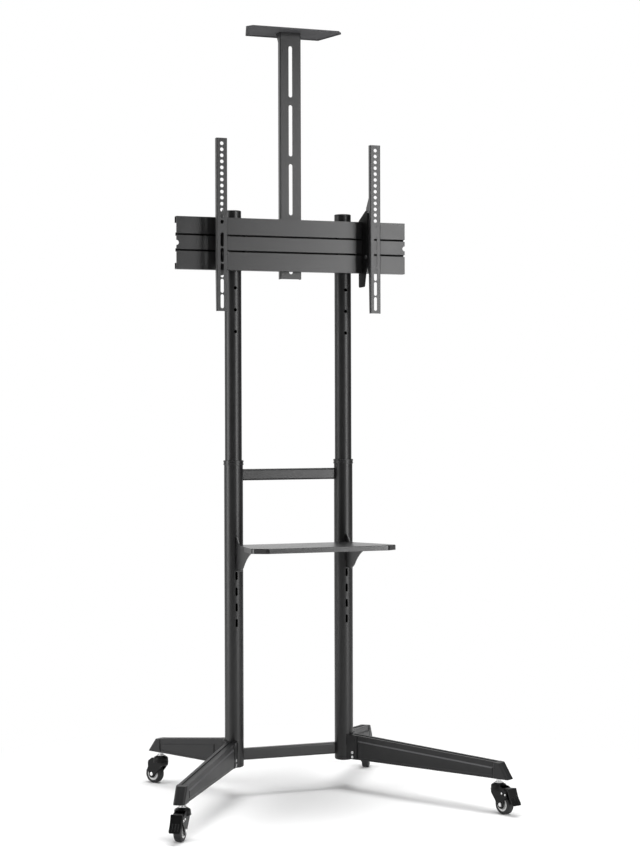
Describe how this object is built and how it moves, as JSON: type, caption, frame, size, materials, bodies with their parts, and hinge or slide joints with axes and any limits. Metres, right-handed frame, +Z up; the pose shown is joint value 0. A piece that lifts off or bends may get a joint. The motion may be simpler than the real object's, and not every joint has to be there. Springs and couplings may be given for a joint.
{
  "type": "tv stand with mount",
  "caption": "Rolling television stand: telescopic twin columns on splayed caster legs, a mounting plate with tilting slotted rails, a shelf and a camera post with a tray.",
  "frame": {"origin": "middle of the footprint on the floor, below the bounding box centre", "axes": "+Z up, +X to the viewer's right when facing the screen side, +Y to the back, away from the screen side"},
  "size_m": [0.8758, 0.7342, 1.9489],
  "materials": {
    "tube_coat": "satin black powder coat",
    "powder_coat": "fine textured charcoal powder coat",
    "leg_coat": "fine textured charcoal powder coat on a cast leg",
    "black_steel": "black enamel",
    "black_plastic": "matte black",
    "zinc": "bright zinc plate",
    "tyre": "dark grey tread on a pale hub"
  },
  "bodies": {
    "base": {"left_lower_column": "tube_coat", "left_column_foot": "black_plastic", "left_collar": "black_plastic", "left_collar_screw": "zinc", "left_shelf_bracket": "powder_coat", "right_lower_column": "tube_coat", "right_column_foot": "black_plastic", "right_collar": "black_plastic", "right_collar_screw": "zinc", "right_shelf_bracket": "powder_coat", "upper_crossbar": "powder_coat", "lower_crossbar": "powder_coat", "shelf": "powder_coat", "front_left_leg": "leg_coat", "front_left_leg_end": "leg_coat", "front_left_stem": "zinc", "front_right_leg": "leg_coat", "front_right_leg_end": "leg_coat", "front_right_stem": "zinc", "back_left_leg": "leg_coat", "back_left_leg_end": "leg_coat", "back_left_stem": "zinc", "back_right_leg": "leg_coat", "back_right_leg_end": "leg_coat", "back_right_stem": "zinc", "front_left_lower_leg_screw": "zinc", "front_left_upper_leg_screw": "zinc", "front_right_lower_leg_screw": "zinc", "front_right_upper_leg_screw": "zinc"},
    "mast": {"left_upper_column": "tube_coat", "right_upper_column": "tube_coat", "left_top_cap": "black_plastic", "right_top_cap": "black_plastic"},
    "plate": {"wall_plate": "powder_coat", "left_sleeve_bolt": "zinc", "right_sleeve_bolt": "zinc", "lower_post_bolt": "zinc", "upper_post_bolt": "zinc"},
    "post": {"camera_post": "powder_coat", "camera_tray": "powder_coat"},
    "left_arm": {"left_tilt_bracket": "powder_coat", "left_tilt_bolt": "zinc"},
    "left_screen_rail": {"left_rail": "powder_coat"},
    "right_arm": {"right_tilt_bracket": "powder_coat", "right_tilt_bolt": "zinc"},
    "right_screen_rail": {"right_rail": "powder_coat"},
    "front_left_caster": {"front_left_fork": "black_plastic", "front_left_axle": "zinc"},
    "front_left_roller": {"front_left_wheel": "tyre"},
    "front_right_caster": {"front_right_fork": "black_plastic", "front_right_axle": "zinc"},
    "front_right_roller": {"front_right_wheel": "tyre"},
    "back_left_caster": {"back_left_fork": "black_plastic", "back_left_axle": "zinc"},
    "back_left_roller": {"back_left_wheel": "tyre"},
    "back_right_caster": {"back_right_fork": "black_plastic", "back_right_axle": "zinc"},
    "back_right_roller": {"back_right_wheel": "tyre"},
    "front_left_brake": {"front_left_brake_pedal": "black_steel"},
    "front_right_brake": {"front_right_brake_pedal": "black_steel"}
  },
  "joints": [
    {"name": "mast_height", "type": "slide", "parent": "base", "child": "mast", "axis": [0, 0, 1], "range_m": [0, 0.1]},
    {"name": "plate_height", "type": "slide", "parent": "mast", "child": "plate", "axis": [0, 0, 1], "range_m": [-0.1665, 0]},
    {"name": "post_height", "type": "slide", "parent": "plate", "child": "post", "axis": [0, 0, 1], "range_m": [-0.024, 0.035]},
    {"name": "left_arm_slide", "type": "slide", "parent": "plate", "child": "left_arm", "axis": [-1, 0, 0], "range_m": [-0.012, 0.095]},
    {"name": "right_arm_slide", "type": "slide", "parent": "plate", "child": "right_arm", "axis": [1, 0, 0], "range_m": [-0.012, 0.095]},
    {"name": "left_tilt", "type": "hinge", "parent": "left_arm", "child": "left_screen_rail", "pos_m": [-0.19716, 0.04136, 1.374], "axis": [1, 0, 0], "range_deg": [-3, 12]},
    {"name": "right_tilt", "type": "hinge", "parent": "right_arm", "child": "right_screen_rail", "pos_m": [0.21144, 0.04136, 1.374], "axis": [1, 0, 0], "range_deg": [-3, 12]},
    {"name": "front_left_swivel", "type": "hinge", "parent": "base", "child": "front_left_caster", "pos_m": [-0.39076, -0.29944, 0.072], "axis": [0, 0, 1], "continuous": true},
    {"name": "front_right_swivel", "type": "hinge", "parent": "base", "child": "front_right_caster", "pos_m": [0.40504, -0.29944, 0.072], "axis": [0, 0, 1], "continuous": true},
    {"name": "back_left_swivel", "type": "hinge", "parent": "base", "child": "back_left_caster", "pos_m": [-0.28086, 0.32316, 0.072], "axis": [0, 0, 1], "continuous": true},
    {"name": "back_right_swivel", "type": "hinge", "parent": "base", "child": "back_right_caster", "pos_m": [0.29514, 0.32316, 0.072], "axis": [0, 0, 1], "continuous": true},
    {"name": "front_left_roll", "type": "hinge", "parent": "front_left_caster", "child": "front_left_roller", "pos_m": [-0.40162, -0.31682, 0.025], "axis": [0.848, -0.5299, 0], "continuous": true},
    {"name": "front_right_roll", "type": "hinge", "parent": "front_right_caster", "child": "front_right_roller", "pos_m": [0.41103, -0.31904, 0.025], "axis": [0.9563, 0.2924, 0], "continuous": true},
    {"name": "back_left_roll", "type": "hinge", "parent": "back_left_caster", "child": "back_left_roller", "pos_m": [-0.29232, 0.34016, 0.025], "axis": [-0.829, -0.5592, 0], "continuous": true},
    {"name": "back_right_roll", "type": "hinge", "parent": "back_right_caster", "child": "back_right_roller", "pos_m": [0.30413, 0.34159, 0.025], "axis": [-0.8988, 0.4384, 0], "continuous": true},
    {"name": "front_left_brake_pedal_hinge", "type": "hinge", "parent": "front_left_caster", "child": "front_left_brake", "pos_m": [-0.40348, -0.31979, 0.06], "axis": [0.848, -0.5299, 0], "range_deg": [0, 15]},
    {"name": "front_right_brake_pedal_hinge", "type": "hinge", "parent": "front_right_caster", "child": "front_right_brake", "pos_m": [0.41206, -0.32239, 0.06], "axis": [0.9563, 0.2924, 0], "range_deg": [0, 15]}
  ]
}
